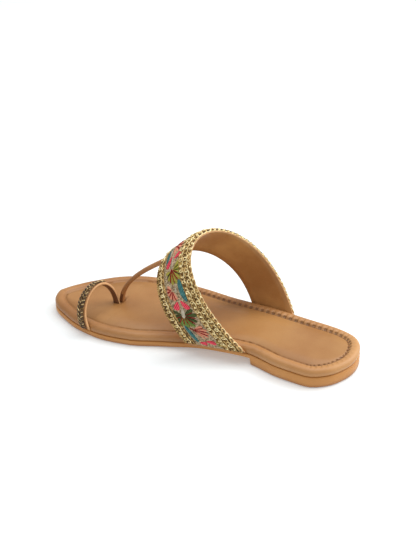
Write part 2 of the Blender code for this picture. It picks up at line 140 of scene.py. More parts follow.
# Two halves of the pattern, one with a green fan and one with an olive fan, drawn from
# their pair of coral petals, and the petals at the band's inner foot. Each row: silk, form,
# mm along and share across of the root and of the tip, and width.
CORAL_PAIR = (
    ("coral", "drop", (3.0, 0.565), (-4.2, 0.680), 6.0),
    ("coral", "drop", (3.8, 0.490), (-3.8, 0.390), 6.2),
)
FOOT_PETALS = (
    ("coral", "drop", (4.4, 0.560), (0.8, 0.650), 5.6),
    ("coral", "drop", (5.0, 0.545), (4.4, 0.375), 6.4),
    ("olive", "drop", (3.6, 0.375), (2.2, 0.265), 3.4),
    ("olive", "drop", (5.0, 0.365), (6.8, 0.290), 2.6),
)
GREEN_REPEAT = CORAL_PAIR + (
    ("moss", "drop", (-9.4, 0.600), (-5.2, 0.775), 3.7),
    ("moss", "drop", (-9.8, 0.610), (-10.0, 0.815), 3.9),
    ("moss", "drop", (-9.2, 0.580), (-3.6, 0.335), 4.2),
    ("moss", "drop", (-9.6, 0.580), (-8.2, 0.290), 4.4),
    ("moss", "drop", (-10.2, 0.610), (-14.8, 0.800), 4.4),
    ("green", "drop", (-10.4, 0.610), (-19.2, 0.755), 4.4),
    ("green", "drop", (-10.8, 0.605), (-20.8, 0.650), 4.2),
    ("green", "drop", (-10.8, 0.595), (-19.6, 0.510), 4.4),
    ("moss", "drop", (-10.2, 0.585), (-14.6, 0.385), 4.4),
    ("olive", "leaf", (-14.6, 0.655), (-19.4, 0.700), 1.0),
    ("olive", "leaf", (-15.0, 0.580), (-19.8, 0.575), 1.0),
    ("crimson", "leaf", (-9.4, 0.630), (-12.4, 0.800), 0.8),
    ("crimson", "leaf", (-9.8, 0.620), (-17.4, 0.780), 0.9),
    ("crimson", "leaf", (-10.4, 0.610), (-18.8, 0.700), 0.9),
    ("crimson", "leaf", (-10.6, 0.595), (-18.6, 0.585), 0.9),
    ("crimson", "leaf", (-10.2, 0.580), (-16.8, 0.450), 0.9),
    ("crimson", "leaf", (-9.6, 0.560), (-11.6, 0.350), 0.8),
    ("crimson", "leaf", (-8.8, 0.560), (-6.4, 0.360), 0.7),
    ("cream", "leaf", (-2.8, 0.530), (-12.0, 0.620), 2.7),
    ("teal", "leaf", (-18.6, 0.705), (-37.0, 0.685), 2.9),
    ("cream", "leaf", (-20.4, 0.655), (-33.6, 0.600), 0.8),
    ("peach", "drop", (-22.2, 0.570), (-18.6, 0.360), 2.7),
    ("peach", "drop", (-22.4, 0.560), (-22.0, 0.320), 3.0),
    ("peach", "drop", (-23.0, 0.555), (-26.0, 0.340), 3.0),
    ("peach", "drop", (-23.6, 0.560), (-29.4, 0.400), 3.0),
    ("peach", "leaf", (-24.4, 0.570), (-31.6, 0.490), 1.7),
    ("crimson", "leaf", (-21.8, 0.570), (-20.2, 0.360), 0.9),
    ("crimson", "leaf", (-22.2, 0.560), (-24.4, 0.340), 1.0),
    ("crimson", "leaf", (-22.8, 0.560), (-28.0, 0.380), 1.0),
    ("crimson", "leaf", (-20.8, 0.635), (-25.4, 0.530), 1.0),
)
OLIVE_REPEAT = (
    ("coral", "drop", (2.6, 0.605), (-5.6, 0.735), 5.2),
    ("coral", "drop", (0.2, 0.545), (4.0, 0.305), 5.8),
    ("olive", "drop", (-7.8, 0.560), (-1.0, 0.300), 5.0),
    ("olive", "drop", (-8.2, 0.555), (-5.6, 0.225), 4.6),
    ("olive", "drop", (-8.4, 0.560), (-10.4, 0.255), 4.6),
    ("olive", "drop", (-8.6, 0.565), (-14.4, 0.365), 4.4),
    ("olive", "drop", (-8.8, 0.580), (-17.2, 0.490), 4.0),
    ("olive", "drop", (-8.8, 0.585), (-17.8, 0.610), 3.6),
    ("olive", "drop", (-8.6, 0.590), (-14.6, 0.710), 3.6),
    ("olive", "drop", (-8.4, 0.595), (-9.4, 0.765), 3.6),
    ("moss", "leaf", (-7.4, 0.555), (-3.2, 0.270), 0.8),
    ("moss", "leaf", (-7.8, 0.550), (-8.0, 0.250), 0.9),
    ("moss", "leaf", (-8.0, 0.555), (-12.2, 0.320), 0.9),
    ("moss", "leaf", (-8.0, 0.600), (-12.0, 0.740), 0.8),
    ("crimson", "leaf", (-6.4, 0.600), (-15.4, 0.430), 1.0),
    ("crimson", "leaf", (-6.6, 0.600), (-17.0, 0.545), 1.0),
    ("crimson", "leaf", (-7.0, 0.605), (-16.6, 0.660), 1.0),
    ("crimson", "leaf", (-7.4, 0.560), (-10.4, 0.400), 0.7),
    ("cream", "leaf", (1.6, 0.570), (-6.8, 0.590), 1.3),
    ("teal", "leaf", (-14.4, 0.435), (-31.0, 0.430), 5.0),
    ("peach", "drop", (-21.6, 0.675), (-18.0, 0.770), 2.6),
    ("peach", "drop", (-22.0, 0.685), (-21.4, 0.815), 2.7),
    ("peach", "drop", (-22.2, 0.690), (-25.2, 0.815), 2.7),
    ("peach", "drop", (-22.6, 0.685), (-28.4, 0.775), 2.8),
    ("peach", "drop", (-22.8, 0.670), (-30.2, 0.700), 2.7),
    ("peach", "drop", (-22.6, 0.655), (-28.8, 0.620), 2.5),
    ("crimson", "leaf", (-21.8, 0.685), (-19.8, 0.795), 0.9),
    ("crimson", "leaf", (-21.6, 0.700), (-23.2, 0.820), 1.4),
    ("crimson", "leaf", (-22.4, 0.690), (-27.0, 0.795), 1.1),
    ("crimson", "leaf", (-22.6, 0.680), (-29.4, 0.735), 1.0),
    ("crimson", "leaf", (-22.4, 0.665), (-29.2, 0.660), 1.0),
    ("cream", "leaf", (-19.8, 0.560), (-23.6, 0.600), 1.6),
)


def smooth(knots, values, at):
    """Monotone cubic through the values of a table."""
    at = min(max(at, knots[0]), knots[-1])
    count = len(knots)
    steps = [knots[i + 1] - knots[i] for i in range(count - 1)]
    slopes = [(values[i + 1] - values[i]) / steps[i] for i in range(count - 1)]
    tangents = [slopes[0]]
    for i in range(1, count - 1):
        if slopes[i - 1] * slopes[i] <= 0.0:
            tangents.append(0.0)
        else:
            before = 2.0 * steps[i] + steps[i - 1]
            after = steps[i] + 2.0 * steps[i - 1]
            tangents.append((before + after) / (before / slopes[i - 1] + after / slopes[i]))
    tangents.append(slopes[-1])
    cell = max(i for i in range(count - 1) if knots[i] <= at)
    s = (at - knots[cell]) / steps[cell]
    rise = (2.0 * s - 3.0) * s * s
    return (
        (1.0 + rise) * values[cell]
        + s * (s - 1.0) ** 2 * steps[cell] * tangents[cell]
        - rise * values[cell + 1]
        + s * s * (s - 1.0) * steps[cell] * tangents[cell + 1]
    )


def column(table, index):
    """One column of a table."""
    return [row[index] for row in table]


def turn_of(station):
    """A station as an angle, so that rows lie close together at both ends of the sole."""
    return math.acos(1.0 - 2.0 * min(max(station, 0.0), 1.0))


OUTLINE_TURNS = [turn_of(row[0]) for row in OUTLINE]


def edge_x(station, side):
    """The sole's edge, on the medial side at -1 and on the lateral side at 1."""
    values = column(OUTLINE, 1 if side < 0 else 2)
    return side * BALL_WIDTH * smooth(OUTLINE_TURNS, values, turn_of(station))


def y_of(station):
    return station * SOLE_LENGTH - HEEL_CENTRE


def station_of(y):
    return (y + HEEL_CENTRE) / SOLE_LENGTH


def outsole_top(station):
    if station < HEEL_BREAST:
        return HEEL_HEIGHT
    lift = smooth(column(SIDE, 0), column(SIDE, 1), station)
    blend = smooth(column(SIDE, 0), column(SIDE, 2), station)
    past = max(0.0, station - TOE_SPRING_START) / (1.0 - TOE_SPRING_START)
    under = lift * (HEEL_HEIGHT - WAIST_THICKNESS) + TOE_SPRING * past * past
    return under + WAIST_THICKNESS + blend * (FORE_THICKNESS - WAIST_THICKNESS)


def footbed_top(station):
    return outsole_top(station) + GAP + FOOTBED_THICKNESS - RIM_DROP


def cubic(start, first, second, end, share):
    rest = 1.0 - share
    return (
        rest ** 3 * start + 3.0 * rest ** 2 * share * first
        + 3.0 * rest * share ** 2 * second + share ** 3 * end
    )


def foot_point(foot, side):
    """Where the middle of a strap's wall meets the sole's edge."""
    station, stand, bend = foot[:3]
    x = edge_x(station, side) + side * stand * STRAP_WALL
    height = outsole_top(station) + GAP + STRAP_WALL / 2.0 + bend * FOOTBED_THICKNESS
    return Vector((x, y_of(station), height))


def post_point(foot):
    """Where the ring goes down through the footbed, beside the big toe."""
    return Vector((-POST_SIDE, y_of(foot[0]), footbed_top(foot[0])))


class Strap:
    """Surface of an arched strap, read by a distance along it and a share across it."""

    def __init__(self, edges, rise, crown):
        self.curves = {name: self.control(*ends, rise) for name, ends in edges.items()}
        self.crown = crown
        steps = 300
        middles = [self.ruled(i / steps, 0.5) for i in range(steps + 1)]
        self.lengths = [0.0]
        for before, after in zip(middles, middles[1:]):
            self.lengths.append(self.lengths[-1] + (after - before).length)
        self.length = self.lengths[-1]

    @staticmethod
    def control(start, start_foot, end, end_foot, rise):
        """The four control points of one edge's arch."""
        across = Vector((end.x - start.x, end.y - start.y, 0.0)).normalized()
        handles = []
        for foot, outward in ((start_foot, -across), (end_foot, across)):
            reach = foot[3]
            lean = math.radians(foot[4])
            splay = math.radians(foot[5])
            upward = Vector((0.0, math.sin(lean), math.cos(lean)))
            handles.append(reach * rise * (upward * math.cos(splay) + outward * math.sin(splay)))
        return start, start + handles[0], end + handles[1], end

    def ruled(self, share, across):
        """A point on the flat surface between the two edges."""
        rear = cubic(*self.curves["rear"], share)
        return rear.lerp(cubic(*self.curves["front"], share), across)

    def share_at(self, along):
        """Share of the arch at a distance, going straight on past both feet."""
        steps = len(self.lengths) - 1
        scaled = min(max(along, 0.0), self.length)
        cell = max(i for i in range(steps) if self.lengths[i] <= scaled)
        width = self.lengths[cell + 1] - self.lengths[cell]
        share = (cell + (scaled - self.lengths[cell]) / width) / steps
        return share + (along - scaled) / self.length

    def normal(self, share):
        nearby = 0.002
        along = self.ruled(share + nearby, 0.5) - self.ruled(share - nearby, 0.5)
        across = self.ruled(share, 1.0) - self.ruled(share, 0.0)
        return along.cross(across).normalized()

    def place(self, along, across, height):
        """A point over the strap's outer face."""
        share = self.share_at(along)
        arched = math.sin(math.pi * min(max(share, 0.0), 1.0))
        lift = STRAP_WALL / 2.0 + height + 4.0 * across * (1.0 - across) * self.crown * arched
        return self.ruled(share, across) + self.normal(share) * lift


def band_edge(edge):
    medial = BAND_FEET[edge, "medial"]
    lateral = BAND_FEET[edge, "lateral"]
    return foot_point(medial, -1), medial, foot_point(lateral, 1), lateral


def ring_edge(edge):
    medial = RING_FEET[edge, "medial"]
    post = RING_FEET[edge, "post"]
    return foot_point(medial, -1), medial, post_point(post), post


band = Strap({edge: band_edge(edge) for edge in ("rear", "front")}, BAND_RISE, BAND_CROWN)
ring = Strap({edge: ring_edge(edge) for edge in ("rear", "front")}, RING_RISE, 0.0)


# Materials

def tone(red, green, blue):
    """A colour given as it looks on a screen, 0 to 255."""
    shares = [value / 255.0 for value in (red, green, blue)]
    linear = [s / 12.92 if s < 0.04045 else ((s + 0.055) / 1.055) ** 2.4 for s in shares]
    return (*linear, 1.0)


class Value:
    """A number in a material, so that sums on it are written as plain expressions."""

    def __init__(self, finish, socket):
        self.finish = finish
        self.socket = socket

    def sum(self, operation, first, second):
        return self.finish.node("ShaderNodeMath", {"operation": operation}, {0: first, 1: second})

    def __add__(self, other):
        return self.sum("ADD", self, other)

    def __radd__(self, other):
        return self.sum("ADD", other, self)

    def __sub__(self, other):
        return self.sum("SUBTRACT", self, other)

    def __rsub__(self, other):
        return self.sum("SUBTRACT", other, self)

    def __mul__(self, other):
        return self.sum("MULTIPLY", self, other)

    def __rmul__(self, other):
        return self.sum("MULTIPLY", other, self)

    def sine(self):
        return self.sum("SINE", self, 0.0)


class Finish:
    """One material, built round its Principled shader."""

    def __init__(self, name, roughness=0.5, **settings):
        self.material = bpy.data.materials.new(name)
        self.material.use_nodes = True
        self.tree = self.material.node_tree
        self.shader = self.tree.nodes["Principled BSDF"]
        self.put("Roughness", roughness)
        for socket, value in settings.items():
            self.put(socket.replace("_", " "), value)

    def put(self, socket, value):
        target = self.shader.inputs[socket]
        if isinstance(value, Value):
            self.tree.links.new(value.socket, target)
        else:
            target.default_value = value

    def node(self, kind, settings, sockets, output=0):
        made = self.tree.nodes.new(kind)
        for name, value in settings.items():
            setattr(made, name, value)
        for name, value in sockets.items():
            if isinstance(value, Value):
                self.tree.links.new(value.socket, made.inputs[name])
            else:
                made.inputs[name].default_value = value
        return Value(self, made.outputs[output])

    def place(self):
        return self.node("ShaderNodeTexCoord", {}, {}, "Object")

    def uv(self, name):
        return self.node("ShaderNodeUVMap", {"uv_map": name}, {})

    def axis(self, vector, name):
        return self.node("ShaderNodeSeparateXYZ", {}, {0: vector}, name)

    def noise(self, vector, scale, detail=3.0):
        sockets = {"Vector": vector, "Scale": scale, "Detail": detail}
        return self.node("ShaderNodeTexNoise", {}, sockets)

    def range(self, value, low, high, start=0.0, end=1.0):
        sockets = {0: value, 1: low, 2: high, 3: start, 4: end}
        return self.node("ShaderNodeMapRange", {"interpolation_type": "SMOOTHSTEP"}, sockets)

    def mix(self, share, first, second):
        settings = {"data_type": "RGBA", "blend_type": "MIX"}
        return self.node("ShaderNodeMix", settings, {0: share, 6: first, 7: second}, 2)

    def bump(self, height, distance):
        sockets = {"Height": height, "Distance": distance, "Strength": 1.0}
        self.put("Normal", self.node("ShaderNodeBump", {}, sockets))


def leather(name, dark, light, roughness, grain=0.00006, **settings):
    """Smooth full-grain leather: slow clouds of tone, fine pores and a soft grain."""
    made = Finish(name, roughness, **settings)
    place = made.place()
    clouds = made.range(made.noise(place, 34.0, 4.0), 0.30, 0.70)
    fine = made.noise(place, 900.0, 2.0)
    made.put("Base Color", made.mix(clouds * 0.75 + fine * 0.25, dark, light))
    made.put("Roughness", made.range(made.noise(place, 120.0), 0.2, 0.8,
                                     roughness - 0.05, roughness + 0.06))
    made.bump(fine + made.noise(place, 60.0) * 2.0, grain)
    return made


def footbed_leather():
    """The footbed's leather: a rim painted paler at the heel and darker towards the front, as
    painted light and shade, and a seam that puckers from the heel to the waist, with painted shade
    in its groove.
    """
    made = Finish("footbed_leather", 0.42)
    place = made.place()
    clouds = made.range(made.noise(place, 22.0, 4.0), 0.30, 0.70)
    fine = made.noise(place, 900.0, 2.0)
    colour = made.mix(clouds * 0.7 + fine * 0.3, tone(160, 108, 58), tone(182, 134, 80))
    seam = made.uv("seam")
    inward = made.axis(seam, "Y")
    rim = made.range(inward, RIM_WIDTH - 0.0012, RIM_WIDTH + 0.0006)
    # painted light and shade: the rim's tone is paler at the heel and darker towards the front
    forward = made.range(made.axis(place, "Y"), 0.0, 0.05)
    deep = made.mix(forward, tone(184, 130, 76), tone(158, 106, 58))
    pale = made.mix(forward, tone(202, 150, 94), tone(184, 132, 80))
    colour = made.mix(rim, made.mix(clouds, deep, pale), colour)
    stitch = made.axis(seam, "X") * (2.0 * math.pi / STITCH_PITCH)
    pull = (stitch + math.pi / 2.0).sine() * 0.5 + 0.5
    # painted shade: the groove is darkened, more at the pulled dimples of the stitches; the dimples
    # fade out at the front and on the inner side ahead of the heel
    groove = (
        made.range(inward, RIM_WIDTH - 0.0022, RIM_WIDTH - 0.0004)
        * made.range(inward, RIM_WIDTH + 0.0006, RIM_WIDTH + 0.0016, 1.0, 0.0)
    )
    rear = made.range(made.axis(place, "Y"), SEAM_STITCH_END - 0.03, SEAM_STITCH_END, 1.0, 0.0)
    outer = made.range(made.axis(place, "X"), -0.018, -0.010)
    heel = made.range(made.axis(place, "Y"), -0.012, 0.006, 1.0, 0.0)
    side = made.range(outer + heel, 0.0, 1.0, 0.12, 1.0)
    pucker_and_shade = groove * (0.20 + made.range(pull, 0.40, 0.80) * 0.80 * rear * side)
    colour = made.mix(pucker_and_shade * 0.60, colour, tone(86, 50, 26))
    made.put("Base Color", colour)
    made.put("Roughness", made.range(made.noise(place, 90.0), 0.2, 0.8, 0.38, 0.50))
    slope = (
        made.range(inward, RIM_WIDTH - 0.0058, RIM_WIDTH - 0.0026)
        * made.range(inward, RIM_WIDTH - 0.0008, RIM_WIDTH + 0.0002, 1.0, 0.0)
    )
    ridge = slope * made.range(pull, 0.1, 0.9) * rear * side * 0.8
    made.bump(fine * 0.05 + made.noise(place, 60.0) * 0.1 - pucker_and_shade - ridge, 0.0006)
    return made


def rubber():
    """Moulded rubber: a satin side with painted shade darker towards the floor, and a tread of fine
    slanted ribs on the underside.
    """
    made = Finish("tan_rubber", 0.50)
    place = made.place()
    clouds = made.noise(place, 45.0, 4.0)
    # painted shade: the rubber is darker towards the floor
    low = made.range(made.axis(place, "Z"), 0.0, 0.0040)
    colour = made.mix(clouds, tone(190, 126, 60), tone(212, 150, 80))
    made.put("Base Color", made.mix(low, tone(168, 110, 60), colour))
    slant = made.axis(place, "X") + made.axis(place, "Y")
    counter = made.axis(place, "X") - made.axis(place, "Y")
    rib = 2.0 * math.pi / 0.0042
    tread = (slant * rib).sine() * (counter * rib).sine()
    facing = made.axis(made.node("ShaderNodeNewGeometry", {}, {}, "Normal"), "Z")
    below = made.range(facing, -0.9, -0.6, 1.0, 0.0)
    made.bump(made.noise(place, 700.0) * 0.06 + made.range(tread, -0.2, 0.2) * below, 0.0006)
    return made


def metal_cord(name, dark, light, roughness, metallic):
    """Smooth metallic thread, worn darker here and there."""
    made = Finish(name, roughness, Metallic=metallic)
    worn = made.range(made.noise(made.place(), 520.0, 2.0), 0.40, 0.60)
    made.put("Base Color", made.mix(worn, dark, light))
    return made


def thread(name, dark, light):
    """Satin stitch: fine strands side by side, with painted shade between the strands and a silky
    light.
    """
    made = Finish(name, 0.55, Specular_IOR_Level=0.25)
    flat = made.uv("thread")
    strand = made.axis(flat, "Y") * 15.0 + made.axis(flat, "X") * 5.0
    rows = strand.sine() * 0.5 + 0.5
    patch = made.noise(made.place(), 620.0, 2.0)
    # painted highlight and shade: each strand is lighter on its crown and darker where it meets the
    # next, along with random patches of tone
    shade = made.range(rows * 0.55 + patch * 0.75, 0.30, 0.95)
    made.put("Base Color", made.mix(shade, dark, light))
    made.bump(rows, 0.00018)
    return made


def ribbon_cloth():
    """Greige silk ground with a close weave and grey flecks."""
    made = Finish("ribbon_cloth", 0.7, Specular_IOR_Level=0.2)
    flat = made.uv("thread")
    warp = (made.axis(flat, "X") * 5200.0).sine()
    weft = (made.axis(flat, "Y") * 5200.0).sine()
    fleck = made.range(made.noise(made.place(), 850.0, 2.0), 0.35, 0.65)
    made.put("Base Color", made.mix(fleck, tone(122, 100, 74), tone(202, 180, 144)))
    made.bump(warp * weft, 0.00008)
    return made


FOOTBED_LEATHER = footbed_leather()
UPPER_LEATHER = leather("upper_leather", tone(156, 102, 54), tone(184, 128, 74), 0.6)
LINING_LEATHER = leather("lining_leather", tone(164, 110, 56), tone(202, 150, 88), 0.50)
# lining leather painted much darker, as painted shade inside the ring
SHADED_RING_LINING = leather("ring_lining_shaded", tone(98, 58, 30), tone(124, 78, 44), 0.55)
EDGE_LEATHER = leather("edge_leather", tone(210, 156, 104), tone(228, 178, 124), 0.50)
TAN_RUBBER = rubber()
SEAM_THREAD = leather("seam_thread", tone(120, 76, 42), tone(160, 106, 62), 0.55)
# two copies of one gold thread: a brighter one with painted highlight for the raised loops and edge
# loops, a darker one with painted shade for the lower twists
LIT_GOLD_CORD = metal_cord("gold_cord", tone(214, 182, 120), tone(255, 238, 184), 0.30, 0.5)
SHADED_GOLD_STRAND = metal_cord("gold_strand_shaded", tone(128, 94, 44), tone(214, 178, 112), 0.36, 0.5)
BRAID_GROUND = metal_cord("braid_ground", tone(56, 34, 10), tone(104, 68, 28), 0.6, 0.0)
DARK_CORD = metal_cord("dark_cord", tone(56, 38, 18), tone(112, 82, 46), 0.42, 0.3)
RING_GOLD = metal_cord("ring_gold", tone(128, 94, 46), tone(236, 206, 150), 0.36, 0.5)
RIBBON_CLOTH = ribbon_cloth()
CORAL_SILK = thread("coral_silk", tone(190, 22, 48), tone(255, 96, 112))
TEAL_SILK = thread("teal_silk", tone(10, 52, 58), tone(86, 150, 146))
OLIVE_SILK = thread("olive_silk", tone(128, 116, 30), tone(190, 180, 82))
GREEN_SILK = thread("green_silk", tone(66, 88, 30), tone(128, 152, 66))
MOSS_SILK = thread("moss_silk", tone(22, 30, 10), tone(88, 102, 46))
PEACH_SILK = thread("peach_silk", tone(222, 116, 88), tone(250, 182, 148))
CRIMSON_SILK = thread("crimson_silk", tone(120, 8, 12), tone(190, 26, 30))
CREAM_SILK = thread("cream_silk", tone(160, 148, 122), tone(226, 216, 192))


# Pieces

def finished(name, mesh, finishes, replaces=()):
    """The object for a mesh that is already in place."""
    piece = bpy.data.objects.new(name, mesh)
    bpy.context.scene.collection.objects.link(piece)
    for finish in finishes:
        mesh.materials.append(finish.material)
    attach(piece, "root")
    if replaces:
        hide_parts(*replaces)
    return piece


def from_bmesh(name, bm, finishes, replaces=(), sharp=50.0):
    """A smooth piece from a bmesh, with hard edges where it turns by more than sharp degrees."""
    bmesh.ops.recalc_face_normals(bm, faces=bm.faces)
    mesh = bpy.data.meshes.new(name)
    bm.to_mesh(mesh)
    bm.free()
    mesh.shade_smooth()
    mesh.set_sharp_from_angle(angle=math.radians(sharp))
    return finished(name, mesh, finishes, replaces)


def merged_copy(node):
    """A copy of a solid with its doubled corners merged."""
    bm = bmesh.new()
    bm.from_mesh(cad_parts[node].data)
    bmesh.ops.remove_doubles(bm, verts=bm.verts, dist=0.000002)
    return bm


def lay(bm, strap):
    """Flat work, with x along, y across as a share and z up, laid over a strap."""
    for vert in bm.verts:
        vert.co = strap.place(*vert.co)


def strip(strap, start, end, span, top, thickness, name, finish, replaces=()):
    """A flat ribbon over a strap, between two distances along it and two shares across it."""
    bm = bmesh.new()
    bmesh.ops.create_grid(bm, x_segments=160, y_segments=6, size=0.5)
    bmesh.ops.translate(bm, verts=bm.verts, vec=(0.5, 0.5, 0.0))
    bmesh.ops.scale(bm, verts=bm.verts, vec=(end - start, span[1] - span[0], 1.0))
    bmesh.ops.translate(bm, verts=bm.verts, vec=(start, span[0], top))
    flat = bm.loops.layers.uv.new("thread")
    for face in bm.faces:
        for loop in face.loops:
            loop[flat].uv = (loop.vert.co.x, loop.vert.co.y * 0.03)
    made = bmesh.ops.extrude_face_region(bm, geom=bm.faces[:])
    sunk = [item for item in made["geom"] if isinstance(item, bmesh.types.BMVert)]
    bmesh.ops.translate(bm, verts=sunk, vec=(0.0, 0.0, -thickness))
    lay(bm, strap)
    return from_bmesh(name, bm, [finish], replaces)


def cords(name, lines, radius, finish, replaces=()):
    """Round cord along each line."""
    curve = bpy.data.curves.new(name, "CURVE")
    curve.dimensions = "3D"
    curve.bevel_depth = radius
    curve.bevel_resolution = 1
    curve.use_fill_caps = True
    for line in lines:
        spline = curve.splines.new("POLY")
        spline.points.add(len(line) - 1)
        for point, place in zip(spline.points, line):
            point.co = (*place, 1.0)
    carrier = bpy.data.objects.new(name + "_line", curve)
    bpy.context.scene.collection.objects.link(carrier)
    bpy.context.view_layer.update()
    evaluated = carrier.evaluated_get(bpy.context.evaluated_depsgraph_get())
    mesh = bpy.data.meshes.new_from_object(evaluated)
    bpy.data.objects.remove(carrier)
    mesh.materials.clear()
    mesh.shade_smooth()
    return finished(name, mesh, [finish], replaces)


def outline_loop(inset):
    """Closed loop of points inside the sole's edge, on the footbed's top."""
    turns = [math.pi * (i + 0.5) / 150 for i in range(150)]
    stations = [(1.0 - math.cos(turn)) / 2.0 for turn in turns]
    edge = [(edge_x(s, -1), y_of(s)) for s in stations]
    edge += [(edge_x(s, 1), y_of(s)) for s in reversed(stations)]
    moved = []
    for i, point in enumerate(edge):
        before = edge[i - 1]
        after = edge[(i + 1) % len(edge)]
        along = Vector((after[0] - before[0], after[1] - before[1])).normalized()
        moved.append(Vector((point[0] + along.y * inset, point[1] - along.x * inset)))
    return moved


def even_walk(loop, pitch):
    """Places at an even pitch round a closed loop, each with its direction."""
    closed = loop + loop[:1]
    total = sum((b - a).length for a, b in zip(closed, closed[1:]))
    count = round(total / pitch)
    step = total / count
    walked = 0.0
    places = []
    for a, b in zip(closed, closed[1:]):
        span = (b - a).length
        while len(places) * step < walked + span and len(places) < count:
            share = (len(places) * step - walked) / span
            places.append((a.lerp(b, share), (b - a).normalized()))
        walked += span
    return places


def make_footbed():
    """The footbed, with its distance from the edge and along the seam kept as a UV map."""
    bm = merged_copy("footbed")
    edge = outline_loop(0.0)
    finder = KDTree(len(edge))
    distances = [0.0]
    for i, point in enumerate(edge):
        finder.insert((point.x, point.y, 0.0), i)
        distances.append(distances[-1] + (edge[(i + 1) % len(edge)] - point).length)
    finder.balance()
    total = round(distances[-1] / STITCH_PITCH) * STITCH_PITCH
    fit = total / distances[-1]
    long_edges = [e for e in bm.edges if e.calc_length() > 0.006]
    bmesh.ops.subdivide_edges(bm, edges=long_edges, cuts=3, use_grid_fill=True)
    bmesh.ops.triangulate(bm, faces=bm.faces)
    seam = bm.loops.layers.uv.new("seam")
    places = {}
    for vert in bm.verts:
        _, nearest, _ = finder.find((vert.co.x, vert.co.y, 0.0))
        before = edge[nearest - 1]
        after = edge[(nearest + 1) % len(edge)]
        along = (after - before).normalized()
        away = Vector((vert.co.x, vert.co.y)) - edge[nearest]
        places[vert] = ((distances[nearest] + away.dot(along)) * fit, abs(away.cross(along)))
    for face in bm.faces:
        furthest = max(places[vert][0] for vert in face.verts)
        for loop in face.loops:
            walked, inward = places[loop.vert]
            past_start = furthest - walked > total / 2.0
            loop[seam].uv = (walked + total if past_start else walked, inward)
    from_bmesh("footbed_wrap", bm, [FOOTBED_LEATHER], ["footbed"], 40.0)


def make_seam():
    """Stitches of thick thread down in the footbed's groove."""
    bm = bmesh.new()
    for place, along in even_walk(outline_loop(RIM_WIDTH + 0.0004), STITCH_PITCH):
        if place.y > SEAM_STITCH_END or (place.x < SEAM_PLAIN_SIDE and place.y > 0.0):
            continue
        made = bmesh.ops.create_uvsphere(bm, u_segments=8, v_segments=6, radius=0.5)["verts"]
        bmesh.ops.rotate(bm, verts=made, matrix=Matrix.Rotation(math.pi / 2.0, 3, "Y"))
        bmesh.ops.scale(bm, verts=made, vec=STITCH_SIZE)
        turn = math.atan2(along.y, along.x)
        bmesh.ops.rotate(bm, verts=made, matrix=Matrix.Rotation(turn, 3, "Z"))
        height = footbed_top(station_of(place.y)) - STITCH_DEPTH
        bmesh.ops.translate(bm, verts=made, vec=(place.x, place.y, height))
    from_bmesh("footbed_stitches", bm, [SEAM_THREAD])


def make_outsole():
    bm = merged_copy("outsole")
    from_bmesh("outsole_rubber", bm, [TAN_RUBBER], ["outsole"], 40.0)


def make_upper():
    """The leather of all the straps: outer face, linings and the cut edge between them."""
    bm = merged_copy("strap_upper")
    steps = 120
    samples = []
    for strap in (band, ring):
        for i in range(steps + 1):
            for across in (0.0, 0.15, 0.3, 0.5, 0.7, 0.85, 1.0):
                along = strap.length * i / steps
                place = strap.place(along, across, -STRAP_WALL / 2.0)
                samples.append((place, strap.normal(strap.share_at(along))))
    finder = KDTree(len(samples))
    for i, (place, _) in enumerate(samples):
        finder.insert(place, i)
    finder.balance()
    finishes = [UPPER_LEATHER, LINING_LEATHER, EDGE_LEATHER, SHADED_RING_LINING]
    outer_face, band_lining, cut_edge, ring_lining_shaded = range(len(finishes))
    for face in bm.faces:
        middle = face.calc_center_median()
        _, nearest, distance = finder.find(middle)
        facing = face.normal.dot(samples[nearest][1])
        face.material_index = outer_face
        # the ring's lining takes the copy with painted shade
        if distance < 2.5 * STRAP_WALL and facing < -0.6:
            face.material_index = ring_lining_shaded if middle.y > RING_BACK else band_lining
        elif distance < 1.22 * STRAP_WALL and abs(facing) < 0.6:
            face.material_index = cut_edge
    from_bmesh("strap_leather", bm, finishes, ["strap_upper"], 45.0)


def width_share(strap):
    """What one metre across the strap is as a share of its width."""
    def share(along):
        at = strap.share_at(along)
        forward = (strap.ruled(at + 0.01, 0.5) - strap.ruled(at - 0.01, 0.5)).normalized()
        across = strap.ruled(at, 1.0) - strap.ruled(at, 0.0)
        return 1.0 / (across - forward * across.dot(forward)).length
    return share


def looped_line(strap, start, end, across, phase):
    """A cord that runs along a strap in loops, a big one and a small one in turn."""
    share = width_share(strap)
    steps = 14
    count = int((end - start) / LINK_PITCH)
    line = []
    for i in range(count * steps + 1):
        turn = 2.0 * math.pi * i / steps
        blend = 0.5 - 0.5 * math.cos(turn / 2.0 + phase)
        size = SMALL_LOOP + (BIG_LOOP - SMALL_LOOP) * blend
        along = start + LINK_PITCH * i / steps - 1.3 * size * math.sin(turn)
        side = across + size * math.cos(turn) * share(along)
        height = BRAID_BASE_TOP + CORD_RADIUS * (1.5 + 0.9 * blend + 0.6 * math.sin(turn + 0.8))
        line.append(strap.place(along, side, height))
    return line


def twisted_line(strap, start, end, across, reach, phase):
    """A cord that winds along a strap in a wave, over and under its partner."""
    share = width_share(strap)
    steps = 10
    count = int((end - start) / LINK_PITCH)
    line = []
    for i in range(count * steps + 1):
        turn = 2.0 * math.pi * i / steps + phase
        along = start + LINK_PITCH * i / steps
        side = across + reach * math.sin(turn) * share(along)
        height = BRAID_BASE_TOP + CORD_RADIUS * (0.4 + 0.6 * math.cos(turn))
        line.append(strap.place(along, side, height))
    return line


